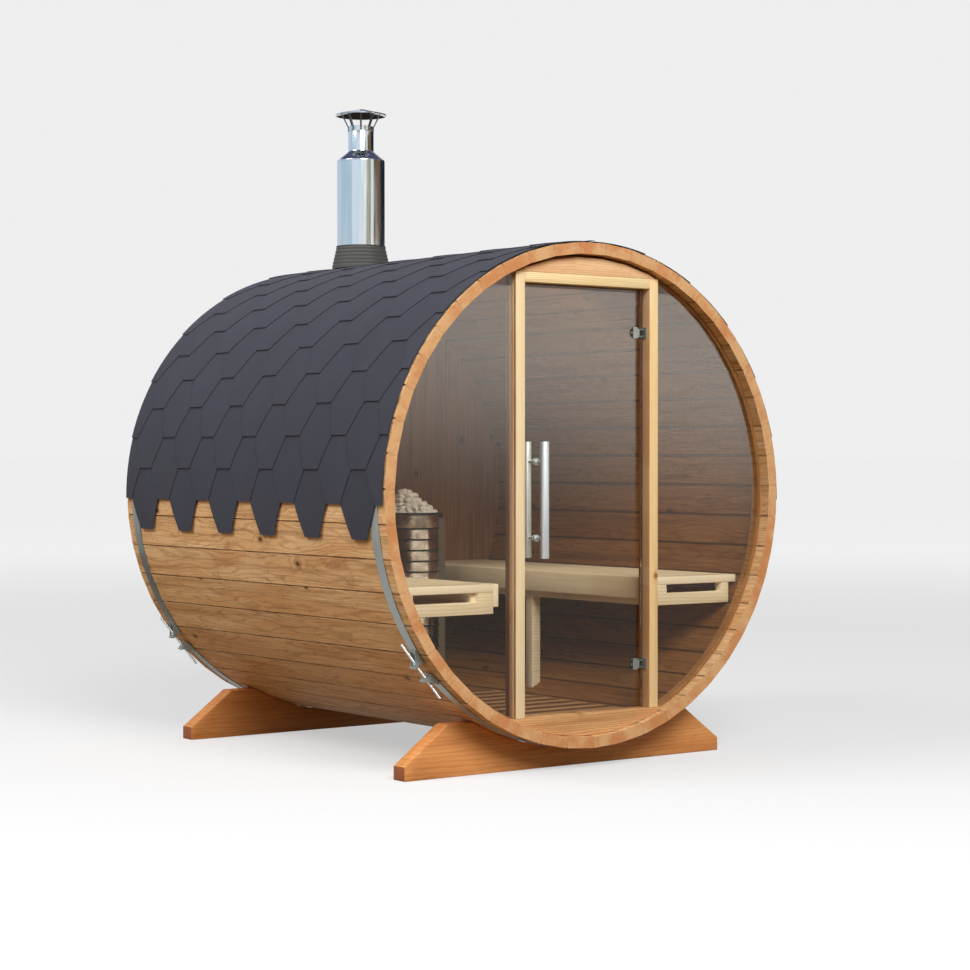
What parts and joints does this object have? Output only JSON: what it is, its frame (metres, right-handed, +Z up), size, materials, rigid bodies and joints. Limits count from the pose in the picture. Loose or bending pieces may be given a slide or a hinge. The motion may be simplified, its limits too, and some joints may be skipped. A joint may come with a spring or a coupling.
{
  "type": "barrel sauna",
  "caption": "Round timber sauna cabin lying on two cradles, with a glazed front, a hinged glass door, benches, a stove and a shingled back.",
  "frame": {"origin": "on the ground, under the middle of the barrel", "axes": "+Z up, +X to the right as seen from the front, the glazed front and its door look along -Y"},
  "size_m": [2.0172, 2, 2.808],
  "materials": {
    "stave_wood": "heat-treated softwood, oiled satin",
    "frame_wood": "clear pine, oiled satin",
    "end_wood": "planed softwood, oiled satin",
    "cradle_wood": "stained softwood, satin",
    "bench_wood": "planed aspen, untreated",
    "floor_wood": "planed softwood, untreated",
    "back_wood": "tongued boards, untreated",
    "shingle": "bitumen with fine slate granules",
    "bronze_glass": "bronze-tinted toughened glass",
    "hoop_steel": "galvanised strip",
    "zinc_steel": "zinc-plated",
    "hinge_chrome": "polished",
    "handle_steel": "satin stainless",
    "stove_steel": "bright stainless with black rings",
    "stove_stone": "broken grey stove stone",
    "slab_stone": "sawn slate",
    "screen_panel": "matt heat-proof paint",
    "flue_black": "matt heat-proof paint",
    "chimney_steel": "bright stainless",
    "boot_rubber": "heat-proof ribbed rubber"
  },
  "bodies": {
    "sauna": {"staves_top": "stave_wood", "staves_upper_right": "stave_wood", "staves_right": "stave_wood", "staves_lower_right": "stave_wood", "staves_bottom": "stave_wood", "staves_lower_left": "stave_wood", "staves_left": "stave_wood", "staves_upper_left": "stave_wood", "front_cradle": "cradle_wood", "rear_cradle": "cradle_wood", "front_hoop": "hoop_steel", "rear_hoop": "hoop_steel", "hoop_tensioners": "zinc_steel", "shingles_left": "shingle", "shingles_right": "shingle", "ridge_cap": "shingle", "left_post": "frame_wood", "right_post": "frame_wood", "lintel": "frame_wood", "header": "end_wood", "sill": "end_wood", "left_glass": "bronze_glass", "right_glass": "bronze_glass", "glazing_beads": "stave_wood", "hinge_brackets": "hinge_chrome", "back_wall": "back_wood", "duckboard_slats": "floor_wood", "duckboard_runners": "floor_wood", "left_bench_top": "bench_wood", "right_bench_top": "bench_wood", "left_bench_frame": "bench_wood", "right_bench_frame": "bench_wood", "stove_body": "stove_steel", "stove_stones": "stove_stone", "stove_base": "slab_stone", "heat_screen": "screen_panel", "flue_pipe": "flue_black", "chimney_pipe": "chimney_steel", "chimney_head": "chimney_steel", "rain_cap": "chimney_steel", "roof_boot": "boot_rubber"},
    "door": {"door_glass": "bronze_glass", "door_hinges": "hinge_chrome", "outer_handle": "handle_steel", "inner_handle": "handle_steel"}
  },
  "joints": [
    {"name": "door_hinge", "type": "hinge", "parent": "sauna", "child": "door", "pos_m": [0.298, -0.9235, 1.084], "axis": [0, 0, 1], "range_deg": [0, 90]}
  ]
}
